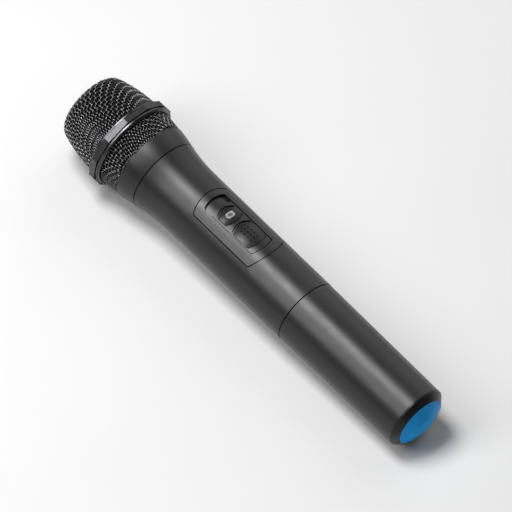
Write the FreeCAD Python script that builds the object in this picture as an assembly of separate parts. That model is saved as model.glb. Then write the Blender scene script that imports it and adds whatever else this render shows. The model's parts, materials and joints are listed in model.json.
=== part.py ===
import FreeCAD, Part
import math
import os

# Handheld wireless karaoke microphone, lying on its side.
# Everything is modelled along the X axis, from the tail's tip at X = 0 to the top of the grille,
# with the axis of the handle at Y = Z = 0 and the control panel facing +Z.
# Each solid is moved at the end, so that the part's origin is the middle of its footprint.

# Lengths along the axis, one for each section that shows outside
end_cap_height = 3.9
bezel_length = 3.4
cup_beyond_cells = 30.1
handle_length = 105.3
collar_length = 10.5
lower_mesh_length = 11.3
ring_length = 6.3
dome_length = 29.8

# Outer radii
cap_flat_radius = 5.2
cap_rim_radius = 13.8
cup_tail_radius = 17.65
cup_seam_radius = 18.2
handle_radius = 18.3
handle_swell = 0.15
clip_stretch = 29.0
head_seam_rise = 2.2
collar_top_rise = 1.85
mesh_rise = 1.0
ring_flat_rise = 2.15
ring_lip_rise = 1.8
ring_sides = 12

# Ring's lips and band, from its tail end to its head end
ring_foot = 0.7
tail_lip_width = 0.8
tail_groove_width = 0.5
head_groove_width = 0.4
head_lip_width = 0.7
groove_depth = 0.5
band_overlap = 0.2

# Curves of the outline
flare_radius = 85.0
collar_bulge = 0.15
lower_mesh_arc = 120.0
dome_side_arc = 86.0
dome_top_arc = 66.0
dome_shoulder_arc = 6.0
cap_dome_rise = 0.3
edge_break = 0.3
seam_groove_depth = 0.7

# Walls
handle_wall = 2.1
cup_wall = 1.9
cup_end_wall = 4.0
cup_spigot_depth = 2.0
collar_wall = 1.9
neck_wall = 1.5
mesh_thickness = 1.0
foam_thickness = 3.0
cap_wall = 1.5

# Threads are plain cylinders with a running gap
thread_pitch = 1.5
thread_turns = 3
thread_gap = 0.1
tail_neck_lead = 7.5
head_neck_lead = 4.5
gasket_thickness = 0.9
gasket_width = 0.8

# Gaps between neighbours
seat_gap = 0.1
soft_gap = 0.3
panel_gap = 0.42
slide_gap = 0.4
slide_rest_gap = 0.5

# Control panel, measured from the handle's tail end
panel_start = 29.4
panel_end = 75.7
panel_half_width = 12.0
panel_head_rise = 3.0
panel_head_corner = 2.6
panel_tail_rise = 3.0
panel_tail_corner = 0.6
least_corner = 0.3
panel_skin = 1.3
panel_ledge = 1.0
recess_start = 33.8
recess_end = 71.9
recess_half_width = 7.35
recess_head_rise = 1.3
recess_head_corner = 2.0
recess_tail_rise = 1.6
recess_tail_corner = 1.0
recess_depth = 1.6
recess_floor = 1.0

# Power slider
slider_travel = 4.4
slider_length = 31.9
slider_thickness = 1.2
pad_start = 37.7
pad_length = 14.1
pad_half_width = 6.4
boss_start = 54.5
boss_length = 9.1
boss_half_width = 5.85
pad_end_rise = 1.9
pad_corner = 1.6
moat_head = 1.0
moat_tail = 0.5
moat_side = 0.12
pocket_depth = 0.85
pad_crown_height = 0.3
pad_crown_arc = 26.0
boss_crown_height = 0.3
boss_crown_arc = 11.5
dimple_rows = 3
dimple_columns = 4
dimple_pitch_across = 2.2
dimple_pitch_along = 2.35
dimple_radius = 0.45
dimple_depth = 0.7
lens_length = 3.3
lens_width = 4.8
lens_corner = 1.2
lens_gap = 0.2
lens_stand = 0.15
lever_length = 3.0
lever_width = 4.0

# Circuit board and what is soldered to it
board_thickness = 1.6
board_top = 8.0
board_half_width = 12.5
board_inset = 10.0
board_length = 79.0
rail_height = 5.0
rail_reach = 2.2
screw_inset = 4.0
screw_radius = 0.95
screw_head_radius = 1.8
screw_head_height = 1.2
screw_length = 5.0
hole_clearance = 0.1
switch_length = 14.0
switch_width = 7.0
switch_height = 5.0
led_radius = 1.5
led_height = 5.0
shield_inset = 9.0
shield_length = 17.0
shield_half_width = 8.0
shield_height = 3.2
shield_sheet = 0.4
small_chip_side = 5.0
large_chip_side = 6.0
chip_height = 1.4
chip_inset = 16.0
chip_pitch = 7.0
chip_pair_offset = 4.0
capacitor_inset = 9.5
capacitor_pitch = 5.6
capacitor_height = 5.0
capacitor_radius = 2.5
crystal_inset = 2.8
crystal_thickness = 3.8
crystal_side = -3.2
crystal_length = 11.0
crystal_height = 3.4
crystal_corner = 1.2
plug_length = 5.5
plug_half_width = 3.6
plug_height = 4.0
plug_overhang = 1.0
wire_radius = 0.55
lead_spacing = 2.6

# Batteries: two standard AA cells side by side
cell_radius = 7.1
cell_length = 50.5
cell_button_radius = 2.7
cell_button_height = 1.3
cell_gap = 0.15
tray_rib = 0.4
spring_length = 5.0
spring_wire = 0.35
spring_turns = 4
spring_small_radius = 2.0
spring_large_radius = 3.6
contact_thickness = 0.5
contact_half_width = 4.5
tray_end_wall = 2.0
tray_radius = 15.55
tray_rim_height = 1.5
tray_plug_inside = 6.0
keel_half_width = 5.0
link_depth = 2.0

# Capsule
carrier_thickness = 2.0
carrier_stem_length = 7.0
carrier_stem_radius = 11.0
carrier_bore = 9.0
carrier_cup_wall = 1.4
carrier_cup_depth = 6.0
capsule_radius = 14.0
capsule_length = 22.0
capsule_wall = 1.0
capsule_floor = 1.2
shock_ring_thickness = 1.3
yoke_radius = 12.8
yoke_length = 12.0
yoke_wall = 1.8
yoke_floor = 2.5
magnet_radius = 8.0
magnet_length = 7.0
pole_radius = 8.4
coil_inner_radius = 9.0
coil_thickness = 0.7
coil_length = 5.2
coil_depth = 2.4
diaphragm_thickness = 0.3
diaphragm_dome_rise = 1.2
clamp_ring_width = 0.6
clamp_ring_height = 1.2
grid_thickness = 1.1
grid_hole_radius = 1.0
grid_rings = 3

# Stations along the axis, from the tail's tip
cap_rim = end_cap_height
cup_tail = cap_rim + bezel_length
cup_length = cell_length + cup_beyond_cells
seam = cup_tail + cup_length
head_seam = seam + handle_length
collar_top = head_seam + collar_length
ring_tail = collar_top + lower_mesh_length
ring_head = ring_tail + ring_length
dome_top = ring_head + dome_length
total_length = dome_top

# Each neck is as long as its thread and a plain lead
tail_neck_length = tail_neck_lead + thread_turns * thread_pitch
head_neck_length = head_neck_lead + thread_turns * thread_pitch

# Derived radii
head_seam_radius = handle_radius + head_seam_rise
collar_top_radius = head_seam_radius + collar_top_rise
mesh_radius = collar_top_radius + mesh_rise
ring_flat_radius = mesh_radius + ring_flat_rise
ring_lip_radius = mesh_radius + ring_lip_rise
handle_bore = handle_radius - handle_wall
cup_bore = cup_seam_radius - cup_wall
tail_neck_radius = cup_bore - thread_gap
tail_neck_bore = tail_neck_radius - neck_wall
collar_bore = head_seam_radius - collar_wall
head_neck_radius = collar_bore - thread_gap
mesh_bore = mesh_radius - mesh_thickness
floor_radius = handle_radius - recess_depth
panel_inner_radius = floor_radius - recess_floor
plate_inner_radius = floor_radius + 0.05
plate_outer_radius = plate_inner_radius + slider_thickness
pocket_radius = plate_outer_radius - pocket_depth

NORTH = FreeCAD.Vector(0, 0, 1)
AXIS = FreeCAD.Vector(1, 0, 0)
CENTRE = FreeCAD.Vector(0, 0, 0)


# Basic shapes

def turned(start, *steps):
    """Solid turned about the X axis from an outline of (x, r) points.

    A step of two numbers is a straight line to that point; a step of four is an arc
    through the first pair to the second."""
    edges = []
    here = FreeCAD.Vector(start[0], 0, start[1])
    first = here
    for step in steps:
        end = FreeCAD.Vector(step[-2], 0, step[-1])
        if len(step) == 4:
            middle = FreeCAD.Vector(step[0], 0, step[1])
            edges.append(Part.Arc(here, middle, end).toShape())
        elif here.distanceToPoint(end) > 1e-6:
            edges.append(Part.makeLine(here, end))
        here = end
    if here.distanceToPoint(first) > 1e-6:
        edges.append(Part.makeLine(here, first))
    face = Part.Face(Part.Wire(edges))
    return face.revolve(CENTRE, AXIS, 360)


def rod(x0, x1, radius, y=0.0, z=0.0):
    return Part.makeCylinder(radius, x1 - x0, FreeCAD.Vector(x0, y, z), AXIS)


def tube(x0, x1, outer, inner):
    return turned((x0, inner), (x0, outer), (x1, outer), (x1, inner))


def block(x0, x1, y0, y1, z0, z1):
    corner = FreeCAD.Vector(x0, y0, z0)
    return Part.makeBox(x1 - x0, y1 - y0, z1 - z0, corner)


def upright(x, y, z0, z1, radius):
    return Part.makeCylinder(radius, z1 - z0, FreeCAD.Vector(x, y, z0), NORTH)


def prism_from(edges, height):
    return Part.Face(Part.Wire(edges)).extrude(FreeCAD.Vector(0, 0, height))


def quarter(centre, radius, angle):
    """Quarter circle in a level plane, starting at an angle in degrees."""
    points = []
    for turn in (0, 45, 90):
        a = math.radians(angle + turn)
        points.append(centre + FreeCAD.Vector(radius * math.cos(a), radius * math.sin(a), 0))
    return Part.Arc(points[0], points[1], points[2]).toShape()


def rounded_prism(x0, x1, half_width, tail_corner, head_corner, z0, z1):
    """Upright prism on a rectangle whose tail and head corners have their own radii."""
    reach = min(half_width, (x1 - x0) / 2) - 0.01
    tail_r = min(tail_corner, reach)
    head_r = min(head_corner, reach)
    corners = (
        (x1 - head_r, half_width - head_r, head_r, 0),
        (x0 + tail_r, half_width - tail_r, tail_r, 90),
        (x0 + tail_r, tail_r - half_width, tail_r, 180),
        (x1 - head_r, head_r - half_width, head_r, 270),
    )
    arcs = [quarter(FreeCAD.Vector(x, y, z0), r, angle) for x, y, r, angle in corners]
    edges = []
    for index, arc in enumerate(arcs):
        following = arcs[(index + 1) % len(arcs)]
        edges.append(arc)
        edges.append(Part.makeLine(arc.valueAt(arc.LastParameter),
                                   following.valueAt(following.FirstParameter)))
    return prism_from(edges, z1 - z0)


def bulged_end(tip, way, half_width, rise, corner):
    """Points along an end that bulges by rise, between its two rounded corners.

    way is 1 if the end faces the head and -1 if it faces the tail. The corners touch the
    straight sides and the bulge without a kink."""
    bulge = (half_width ** 2 + rise ** 2) / (2 * rise)
    side = half_width - corner
    forward = math.sqrt((bulge - corner) ** 2 - side ** 2)
    centre = tip - way * bulge
    lean = math.atan2(side, forward)
    corner_x = centre + way * forward
    along_side = (corner_x, half_width)
    turn = (math.pi / 2 + lean) / 2
    on_corner = (corner_x + way * corner * math.cos(turn), side + corner * math.sin(turn))
    on_bulge = (centre + way * bulge * math.cos(lean), bulge * math.sin(lean))
    return along_side, on_corner, on_bulge


def barrel_prism(x0, x1, half_width, rises, corners, z0, z1):
    """Upright prism with straight sides and ends that bulge outward.

    rises and corners give the tail end's figure, then the head end's."""
    def point(place, sign=1):
        return FreeCAD.Vector(place[0], sign * place[1], z0)
    edges = []
    ends = []
    for tip, way, rise, corner in ((x0, -1, rises[0], corners[0]), (x1, 1, rises[1], corners[1])):
        side, rounding, shoulder = bulged_end(tip, way, half_width, rise, corner)
        ends.append(side)
        for sign in (-1, 1):
            edges.append(Part.Arc(point(side, sign), point(rounding, sign),
                                  point(shoulder, sign)).toShape())
        edges.append(Part.Arc(point(shoulder, -1), point((tip, 0)), point(shoulder)).toShape())
    for sign in (-1, 1):
        edges.append(Part.makeLine(point(ends[0], sign), point(ends[1], sign)))
    ordered = Part.__sortEdges__(edges)
    return prism_from(ordered, z1 - z0)


def joined(shapes):
    result = shapes[0]
    for shape in shapes[1:]:
        result = result.fuse(shape)
    return result.removeSplitter()


def wire_along(points, radius):
    """Round wire along straight runs joined by tangent arcs, as large as the runs allow."""
    edges = []
    here = points[0]
    for before, corner, after in zip(points, points[1:], points[2:]):
        back = before - corner
        ahead = after - corner
        turn = math.pi - back.getAngle(ahead)
        cut = 0.45 * min(back.Length, ahead.Length)
        bend = cut / math.tan(turn / 2)
        back.normalize()
        ahead.normalize()
        start = corner + back * cut
        end = corner + ahead * cut
        inward = (back + ahead)
        inward.normalize()
        middle = corner + inward * (bend / math.cos(turn / 2) - bend)
        edges.append(Part.makeLine(here, start))
        edges.append(Part.Arc(start, middle, end).toShape())
        here = end
    edges.append(Part.makeLine(here, points[-1]))
    path = Part.Wire(edges)
    direction = points[1] - points[0]
    section = Part.Wire([Part.makeCircle(radius, points[0], direction)])
    return path.makePipeShell([section], True, False)


# Outline of the grille, with an inset that gives its inner surfaces

def shoulder_points(inset):
    """Ends and middle of the arc that joins the dome's side to its top."""
    side_centre = (ring_head, mesh_radius - dome_side_arc)
    top_centre = (dome_top - dome_top_arc, 0.0)
    reach_side = dome_side_arc - dome_shoulder_arc
    reach_top = dome_top_arc - dome_shoulder_arc
    dx = top_centre[0] - side_centre[0]
    dr = top_centre[1] - side_centre[1]
    apart = math.hypot(dx, dr)
    along = (reach_side ** 2 - reach_top ** 2 + apart ** 2) / (2 * apart)
    aside = math.sqrt(reach_side ** 2 - along ** 2)
    cx = side_centre[0] + (dx * along - dr * aside) / apart
    cr = side_centre[1] + (dr * along + dx * aside) / apart
    if cr < 0 or cx < ring_head:
        cx = side_centre[0] + (dx * along + dr * aside) / apart
        cr = side_centre[1] + (dr * along - dx * aside) / apart
    radius = dome_shoulder_arc - inset
    start_angle = math.atan2(cr - side_centre[1], cx - side_centre[0])
    end_angle = math.atan2(cr - top_centre[1], cx - top_centre[0])
    result = []
    for angle in (start_angle, (start_angle + end_angle) / 2, end_angle):
        result.append((cx + radius * math.cos(angle), cr + radius * math.sin(angle)))
    return result


def on_side(x, inset):
    """Radius of the dome's side at x."""
    drop = dome_side_arc - inset
    return mesh_radius - dome_side_arc + math.sqrt(drop ** 2 - (x - ring_head) ** 2)


def on_lower(x, inset):
    """Radius of the lower mesh at x."""
    drop = lower_mesh_arc - inset
    return mesh_radius - lower_mesh_arc + math.sqrt(drop ** 2 - (x - ring_head) ** 2)


def dome_steps(x0, inset):
    """Outline steps up the dome from x0 to its tip on the axis."""
    start, middle, end = shoulder_points(inset)
    half = (x0 + start[0]) / 2
    top_radius = dome_top_arc - inset
    top_x = dome_top - dome_top_arc
    half_angle = math.asin(end[1] / top_radius) / 2
    cap = (top_x + top_radius * math.cos(half_angle), top_radius * math.sin(half_angle))
    return [
        (half, on_side(half, inset), start[0], start[1]),
        (middle[0], middle[1], end[0], end[1]),
        (cap[0], cap[1], dome_top - inset, 0.0),
    ]


def dome_blank(x0, inset):
    return turned((x0, 0.0), (x0, on_side(x0, inset)), *dome_steps(x0, inset))


def lower_blank(x0, x1, inset):
    half = (x0 + x1) / 2
    return turned((x0, 0.0), (x0, on_lower(x0, inset)),
                  (half, on_lower(half, inset), x1, on_lower(x1, inset)), (x1, 0.0))


# Handle

def flare_foot_radius():
    return handle_radius + handle_swell


def flare_start():
    rise = head_seam_radius - flare_foot_radius()
    return head_seam - math.sqrt(2 * flare_radius * rise - rise ** 2)


def handle_blank(inset=0.0):
    """Outside of the handle: a straight stretch for a clip, a slight swell, then a flare."""
    start = flare_start()
    foot = flare_foot_radius()
    lip = head_seam - edge_break
    middle = (start + lip) / 2
    bend = foot + flare_radius
    middle_r = bend - math.sqrt(flare_radius ** 2 - (middle - start) ** 2)
    lip_r = bend - math.sqrt(flare_radius ** 2 - (lip - start) ** 2)
    return turned(
        (seam, 0.0), (seam, handle_radius - seam_groove_depth - inset),
        (seam + edge_break, handle_radius - inset), (seam + clip_stretch, handle_radius - inset),
        (start, foot - inset),
        (middle, middle_r - inset, lip, lip_r - inset),
        (head_seam, head_seam_radius - seam_groove_depth - inset),
        (head_seam, 0.0))


def panel_plan(gap, z0, z1):
    return barrel_prism(seam + panel_start - gap, seam + panel_end + gap, panel_half_width + gap,
                        (panel_tail_rise, panel_head_rise),
                        (max(panel_tail_corner + gap, least_corner),
                         max(panel_head_corner + gap, least_corner)), z0, z1)


def ledge_plan(z0, z1):
    return panel_plan(-panel_ledge, z0, z1)


def board_ends():
    start = seam + board_inset
    return start, start + board_length


def screw_places():
    start, end = board_ends()
    places = []
    for x in (start + screw_inset, end - screw_inset):
        for side in (-1, 1):
            places.append((x, side * (board_half_width - rail_reach / 2)))
    return places


def neck_ledge_station():
    """Where the capsule carrier's flange sits, just inside the head neck's mouth."""
    return head_seam + head_neck_length - carrier_thickness


def handle_body():
    shell = handle_blank()
    tail_neck = rod(seam - tail_neck_length, seam + 1.0, tail_neck_radius)
    head_neck = rod(head_seam - 1.0, head_seam + head_neck_length, head_neck_radius)
    solid = joined([shell, tail_neck, head_neck])
    solid = solid.cut(rod(seam + tray_plug_inside, head_seam + head_neck_length + 1, handle_bore))
    solid = solid.cut(rod(seam - tail_neck_length - 1, seam + tray_plug_inside + 1, tail_neck_bore))
    ledge_x = neck_ledge_station()
    ledge = tube(ledge_x - 2 * carrier_thickness, ledge_x - seat_gap,
                 handle_bore + 0.5, handle_bore - 2.5)
    start, end = board_ends()
    rail_top = board_top - board_thickness
    rails = []
    for side in (-1, 1):
        inner = side * (board_half_width - rail_reach)
        outer = side * handle_radius
        rail = block(start, end, min(inner, outer), max(inner, outer),
                     rail_top - rail_height, rail_top)
        rails.append(rail.common(rod(start, end, handle_bore + 0.5)))
    solid = joined([solid, ledge] + rails)
    skin_floor = rod(seam, head_seam, handle_radius - panel_skin - seat_gap)
    solid = solid.cut(panel_plan(panel_gap, 0, head_seam_radius).cut(skin_floor))
    solid = solid.cut(ledge_plan(board_top, head_seam_radius))
    for x, y in screw_places():
        hole_bottom = board_top - board_thickness - screw_length
        solid = solid.cut(upright(x, y, hole_bottom, board_top, screw_radius + hole_clearance))
    for place in carrier_screw_places():
        hole = rod(ledge_x - 3 * carrier_thickness, ledge_x, screw_radius + hole_clearance, *place)
        solid = solid.cut(hole)
    return solid


# Control panel and power slider

def lever_station():
    return seam + pad_start + pad_length / 2


def boss_middle():
    return seam + boss_start + boss_length / 2


def control_panel():
    blank = handle_blank()
    skin = blank.cut(rod(seam, head_seam, handle_radius - panel_skin))
    skin = skin.common(panel_plan(0.0, 0, head_seam_radius))
    inner = handle_blank().cut(rod(seam, head_seam, panel_inner_radius))
    well = panel_plan(-panel_ledge - panel_gap, 0, head_seam_radius)
    solid = joined([skin, inner.common(well)])
    recess = recess_plan(seam + recess_start, seam + recess_end, 0.0)
    solid = solid.cut(recess.cut(rod(seam, head_seam, floor_radius)))
    lever_x = lever_station()
    slot_tail = lever_x - lever_length / 2 - slide_gap
    slot_head = lever_x + lever_length / 2 + slider_travel + slide_gap
    half = lever_width / 2 + slide_gap
    solid = solid.cut(block(slot_tail, slot_head, -half, half, 0, handle_radius))
    lens_tail = boss_middle() - lens_length / 2
    lens_head = boss_middle() + lens_length / 2 + slider_travel
    light = lens_width / 2 - lens_corner
    return solid.cut(block(lens_tail, lens_head, -light, light, 0, handle_radius))


def recess_plan(start, end, inset):
    return barrel_prism(start, end, recess_half_width - inset,
                        (recess_tail_rise, recess_head_rise),
                        (recess_tail_corner, recess_head_corner), 0, 2 * handle_radius)


def plate_ends():
    start = seam + recess_start + slide_rest_gap
    return start, start + slider_length


def barrel_at(start, length, half_width, grow_tail, grow_head, grow_side, z0, z1):
    return barrel_prism(seam + start - grow_tail, seam + start + length + grow_head,
                        half_width + grow_side, (pad_end_rise, pad_end_rise),
                        (pad_corner, pad_corner), z0, z1)


def crowned(start, length, crown_radius, arc):
    """Turned blank whose outside curves along the axis as well as around it."""
    middle = seam + start + length / 2
    reach = length / 2 + 1.0
    low = crown_radius - arc + math.sqrt(arc ** 2 - reach ** 2)
    return turned((middle - reach, 0.0), (middle - reach, low),
                  (middle, crown_radius, middle + reach, low), (middle + reach, 0.0))


def lens_plan(gap, z0, z1):
    middle = boss_middle()
    return rounded_prism(middle - lens_length / 2 - gap, middle + lens_length / 2 + gap,
                         lens_width / 2 + gap, lens_corner + gap, lens_corner + gap, z0, z1)


def slider_plate():
    start, end = plate_ends()
    plan = recess_plan(start, end, slide_gap)
    solid = tube(start - 1, end + 1, plate_outer_radius, plate_inner_radius).common(plan)
    inside = rod(start, end, pocket_radius)
    for base, length, half_width in ((pad_start, pad_length, pad_half_width),
                                     (boss_start, boss_length, boss_half_width)):
        pocket = barrel_at(base, length, half_width, moat_tail, moat_head, moat_side,
                           0, 2 * handle_radius)
        solid = solid.cut(pocket.cut(inside))
    return solid.cut(lens_plan(lens_gap, 0, 2 * handle_radius))


def thumb_pad():
    crown = plate_outer_radius + pad_crown_height
    blank = crowned(pad_start, pad_length, crown, pad_crown_arc)
    blank = blank.cut(rod(0, total_length, pocket_radius + 0.02))
    solid = blank.common(barrel_at(pad_start, pad_length, pad_half_width, 0, 0, 0,
                                   0, 2 * handle_radius))
    middle = lever_station()
    for row in range(dimple_rows):
        for column in range(dimple_columns):
            y = (row - (dimple_rows - 1) / 2) * dimple_pitch_across
            dx = (column - (dimple_columns - 1) / 2) * dimple_pitch_along
            surface = crown - pad_crown_arc + math.sqrt(pad_crown_arc ** 2 - dx ** 2)
            floor = math.sqrt(surface ** 2 - y ** 2) - dimple_depth
            foot = FreeCAD.Vector(middle + dx, y, floor)
            solid = solid.cut(Part.makeCylinder(dimple_radius, 2 * dimple_depth, foot))
    return solid


def boss_crown():
    return plate_outer_radius + boss_crown_height


def indicator_boss():
    blank = crowned(boss_start, boss_length, boss_crown(), boss_crown_arc)
    blank = blank.cut(rod(0, total_length, pocket_radius + 0.02))
    solid = blank.common(barrel_at(boss_start, boss_length, boss_half_width, 0, 0, 0,
                                   0, 2 * handle_radius))
    return solid.cut(lens_plan(lens_gap, 0, 2 * handle_radius))


def indicator_lens():
    top = boss_crown() + lens_stand
    blank = crowned(boss_start, boss_length, top, boss_crown_arc)
    blank = blank.cut(rod(0, total_length, plate_inner_radius))
    return blank.common(lens_plan(0.0, 0, 2 * handle_radius))


def switch_lever():
    x = lever_station()
    foot = board_top + switch_height - 1.5
    post = block(x - lever_length / 2, x + lever_length / 2, -lever_width / 2, lever_width / 2,
                 foot, plate_inner_radius + 1.0)
    return post.common(rod(x - lever_length, x + lever_length, plate_inner_radius))


def slide_switch_case():
    x = lever_station() + slider_travel / 2
    case = block(x - switch_length / 2, x + switch_length / 2, -switch_width / 2, switch_width / 2,
                 board_top, board_top + switch_height)
    half = lever_width / 2 + slide_gap
    reach = lever_length / 2 + slider_travel / 2 + slide_gap
    slot = block(x - reach, x + reach, -half, half,
                 board_top + switch_height - 1.5 - slide_gap, board_top + switch_height)
    return case.cut(slot)


# Circuit board

def main_circuit_board():
    start, end = board_ends()
    board = block(start, end, -board_half_width, board_half_width,
                  board_top - board_thickness, board_top)
    for x, y in screw_places():
        board = board.cut(upright(x, y, 0, board_top + 1, screw_radius + hole_clearance))
    return board


def screw(x, y, z, down):
    """Pan head screw whose head's underside is at the point given."""
    shank = Part.makeCylinder(screw_radius, screw_length, FreeCAD.Vector(x, y, z), down)
    head = Part.makeCylinder(screw_head_radius, screw_head_height, FreeCAD.Vector(x, y, z), down * -1)
    return joined([shank, head])


def pcb_screws():
    return Part.makeCompound([screw(x, y, board_top, NORTH * -1) for x, y in screw_places()])


def rf_shield_can():
    start = board_ends()[0] + shield_inset
    end = start + shield_length
    side = shield_half_width
    can = block(start, end, -side, side, board_top, board_top + shield_height)
    inside = side - shield_sheet
    hollow = block(start + shield_sheet, end - shield_sheet, -inside, inside,
                   board_top - 1, board_top + shield_height - shield_sheet)
    return can.cut(hollow)


def circuit_chips():
    end = board_ends()[1]
    chips = []
    pair = (chip_inset, chip_pair_offset, small_chip_side)
    mirrored = (chip_inset, -chip_pair_offset, small_chip_side)
    large = (chip_inset + chip_pitch, 0.0, large_chip_side)
    for offset, y, size in (pair, mirrored, large):
        x = end - offset
        chips.append(block(x - size / 2, x + size / 2, y - size / 2, y + size / 2,
                           board_top, board_top + chip_height))
    return Part.makeCompound(chips)


def filter_capacitors():
    x = board_ends()[1] - capacitor_inset
    top = board_top + capacitor_height
    spots = (-capacitor_pitch, 0.0, capacitor_pitch)
    return Part.makeCompound([upright(x, y, board_top, top, capacitor_radius) for y in spots])


def crystal_can():
    start = board_ends()[0] + crystal_inset
    flat = block(start, start + crystal_thickness, crystal_side, crystal_side + crystal_length,
                 board_top, board_top + crystal_height)
    return flat.makeFillet(crystal_corner, [edge for edge in flat.Edges if abs(edge.tangentAt(0).z) > 0.9])


def power_led():
    x = boss_middle()
    body = upright(x, 0, board_top, board_top + led_height - led_radius, led_radius)
    dome = Part.makeSphere(led_radius, FreeCAD.Vector(x, 0, board_top + led_height - led_radius))
    return joined([body, dome])


def plug_face():
    return board_ends()[1] + plug_overhang


def capsule_plug():
    face = plug_face()
    return block(face - plug_length, face, -plug_half_width, plug_half_width,
                 board_top, board_top + plug_height)


def capsule_leads():
    """Two wires from the plug on the board to the back of the capsule."""
    leads = []
    high = board_top + 2.0
    middle = (plug_face() + head_seam) / 2
    for side in (-1, 1):
        y = side * lead_spacing / 2
        points = [
            FreeCAD.Vector(plug_face(), y, high),
            FreeCAD.Vector(middle, y, high),
            FreeCAD.Vector(head_seam + 3.0, y, 0.0),
            FreeCAD.Vector(capsule_back(), y, 0.0),
        ]
        leads.append(wire_along(points, wire_radius))
    return Part.makeCompound(leads)


def battery_leads():
    start = seam + tray_plug_inside
    end = board_ends()[0] + 1.8
    z = board_top + wire_radius + seat_gap
    return Part.makeCompound([rod(start, end, wire_radius, y, z) for y in (-7.0, 5.0)])


def antenna_place():
    return -2.0, board_top + wire_radius + seat_gap


def antenna_wire():
    y, z = antenna_place()
    return rod(tray_tail() + tray_end_wall / 2, board_ends()[0] + 1.8, wire_radius, y, z)


# Battery compartment

def tray_cavity_end():
    return seam - tail_neck_length - seat_gap - tray_end_wall


def tray_cavity_start():
    return tray_cavity_end() - cell_length - spring_length - 2 * contact_thickness


def tray_tail():
    return tray_cavity_start() - tray_end_wall


def cell_offset():
    return cell_radius + cell_gap + tray_rib / 2


def battery_tray():
    shoulder = seam - tail_neck_length - seat_gap
    cradle = rod(tray_tail(), shoulder, tray_radius)
    plug = rod(shoulder - 1.0, seam + tray_plug_inside, tail_neck_bore - seat_gap)
    solid = joined([cradle, plug])
    start = tray_cavity_start()
    end = tray_cavity_end()
    solid = solid.cut(block(start, end, -tray_radius, tray_radius, tray_rim_height, tray_radius))
    for side in (-1, 1):
        bay = rod(start, end, cell_radius + cell_gap, side * cell_offset())
        solid = solid.cut(bay)
    hollow = rod(shoulder + tray_end_wall, seam + tray_plug_inside - tray_end_wall,
                 tail_neck_bore - seat_gap - neck_wall)
    solid = solid.cut(hollow.common(block(shoulder, seam + tray_plug_inside, -tray_radius,
                                          tray_radius, -tray_radius, board_top - neck_wall)))
    keel = block(start + tray_end_wall, end - tray_end_wall, -keel_half_width, keel_half_width,
                 -tray_radius - 1, -cell_radius)
    solid = solid.cut(keel)
    link = block(start, start + contact_thickness + seat_gap, -cell_offset(), cell_offset(),
                 -link_depth - seat_gap, tray_radius)
    solid = solid.cut(link)
    y, z = antenna_place()
    return solid.cut(rod(tray_tail() - 1, seam + tray_plug_inside + 1, wire_radius + seat_gap, y, z))


def battery_cell(side):
    """AA cell; the left one's button points to the head, the right one's to the tail."""
    y = side * cell_offset()
    start = tray_cavity_start() + contact_thickness
    end = tray_cavity_end() - contact_thickness
    can_length = cell_length - cell_button_height
    if side > 0:
        can = rod(end - cell_length, end - cell_button_height, cell_radius, y)
        button = rod(end - cell_button_height - 0.5, end, cell_button_radius, y)
    else:
        can = rod(start + cell_button_height, start + cell_length, cell_radius, y)
        button = rod(start, start + cell_button_height + 0.5, cell_button_radius, y)
    rims = [edge for edge in can.Edges if edge.Curve.TypeId == "Part::GeomCircle"]
    soft = can.makeFillet(min(0.6, can_length / 4), rims)
    return joined([soft, button])


def cone_spring(large_x, small_x, y):
    """Conical spring of round wire, wide at one end and narrow at the other."""
    length = abs(small_x - large_x) - 2 * spring_wire
    slope = math.degrees(math.atan2(spring_small_radius - spring_large_radius, length))
    coil = Part.makeHelix(length / spring_turns, length, spring_large_radius, slope)
    start = coil.Vertexes[0].Point
    section = Part.Wire([Part.makeCircle(spring_wire, start, FreeCAD.Vector(0, 1, 0))])
    solid = Part.Wire(coil.Edges).makePipeShell([section], True, True)
    way = 1 if small_x > large_x else -1
    solid.rotate(CENTRE, FreeCAD.Vector(0, 1, 0), 90 * way)
    solid.translate(FreeCAD.Vector(large_x + way * spring_wire, y, 0))
    return solid


def battery_springs():
    start = tray_cavity_start() + contact_thickness
    end = tray_cavity_end() - contact_thickness
    left = cone_spring(start, start + spring_length, cell_offset())
    right = cone_spring(end, end - spring_length, -cell_offset())
    return Part.makeCompound([left, right])


def contact_plate(x0, side):
    y = side * cell_offset()
    half = contact_half_width
    return block(x0, x0 + contact_thickness, y - half, y + half, -half, half)


def battery_link_plate():
    x = tray_cavity_start()
    bridge = block(x, x + contact_thickness, -cell_offset(), cell_offset(), -link_depth,
                   tray_rim_height)
    return joined([contact_plate(x, -1), contact_plate(x, 1), bridge])


def battery_contact_plates():
    x = tray_cavity_end() - contact_thickness
    return Part.makeCompound([contact_plate(x, -1), contact_plate(x, 1)])


# Battery cup and tail

def battery_cup():
    inner_wall = cup_tail + cup_end_wall
    spigot = cup_tail + cup_spigot_depth
    gasket_seat = seam - gasket_thickness - seat_gap
    return turned(
        (spigot, 0.0), (spigot, cup_bore), (cup_tail, cup_bore),
        (cup_tail, cup_tail_radius - edge_break), (cup_tail + edge_break, cup_tail_radius),
        (seam - edge_break, cup_seam_radius), (seam, cup_seam_radius - seam_groove_depth),
        (seam, cup_bore + gasket_width + seat_gap), (gasket_seat, cup_bore + gasket_width + seat_gap),
        (gasket_seat, cup_bore), (inner_wall, cup_bore), (inner_wall, 0.0))


def gasket(x_seat, towards, bore):
    x_free = x_seat + towards * gasket_thickness
    return tube(min(x_seat, x_free), max(x_seat, x_free), bore + gasket_width, bore + seat_gap / 2)


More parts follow.
